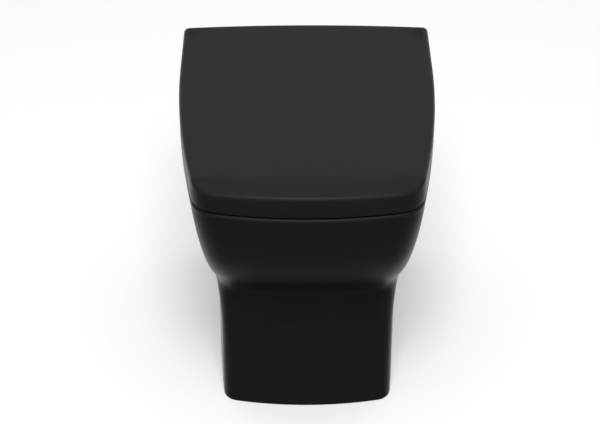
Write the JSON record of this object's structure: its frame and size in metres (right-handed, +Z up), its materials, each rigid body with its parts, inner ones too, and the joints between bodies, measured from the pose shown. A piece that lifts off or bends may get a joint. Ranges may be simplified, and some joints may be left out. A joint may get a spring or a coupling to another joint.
{
  "type": "back-to-wall toilet",
  "caption": "Back-to-wall toilet pan with skirted flared sides, soft-close seat ring and a crowned wrap-over lid on a common hinge axis.",
  "frame": {"origin": "on the floor, under the middle of the overall box", "axes": "+Z up; the pan's front faces -Y and its flat back stands against a wall at +Y; +X to the right seen from the front"},
  "size_m": [0.36, 0.49, 0.441],
  "materials": {
    "black_glaze": "matt black glaze",
    "black_duroplast": "matt black thermoset",
    "black_plastic": "matt",
    "bracket_nylon": "natural nylon",
    "seal_rubber": "matt",
    "buffer_rubber": "matt",
    "hinge_metal": "matt black coating",
    "leaf_steel": "brushed",
    "screw_steel": "bright"
  },
  "bodies": {
    "pan": {"pan": "black_glaze", "inlet_seal": "seal_rubber", "floor_bracket_left": "bracket_nylon", "floor_bracket_right": "bracket_nylon", "side_sleeves": "bracket_nylon", "side_screws": "screw_steel", "side_caps": "black_plastic", "fixing_bungs": "seal_rubber", "bung_nuts": "bracket_nylon", "hinge_studs": "screw_steel", "hinge_bases": "hinge_metal", "hinge_post_left": "hinge_metal", "hinge_post_right": "hinge_metal", "seat_damper_shaft": "screw_steel", "lid_damper_shaft": "screw_steel"},
    "seat": {"seat_ring": "black_duroplast", "seat_hinge_left": "leaf_steel", "seat_hinge_right": "leaf_steel", "seat_hinge_screws": "screw_steel", "seat_buffers": "buffer_rubber", "seat_damper_barrel": "black_plastic"},
    "lid": {"lid": "black_duroplast", "lid_hinge_left": "leaf_steel", "lid_hinge_right": "leaf_steel", "lid_hinge_screws": "screw_steel", "lid_buffers": "buffer_rubber", "lid_damper_barrel": "black_plastic"}
  },
  "joints": [
    {"name": "seat_hinge", "type": "hinge", "parent": "pan", "child": "seat", "pos_m": [0, 0.186, 0.427], "axis": [-1, 0, 0], "range_deg": [0, 95]},
    {"name": "lid_hinge", "type": "hinge", "parent": "seat", "child": "lid", "pos_m": [0, 0.186, 0.427], "axis": [-1, 0, 0], "range_deg": [0, 95]}
  ]
}
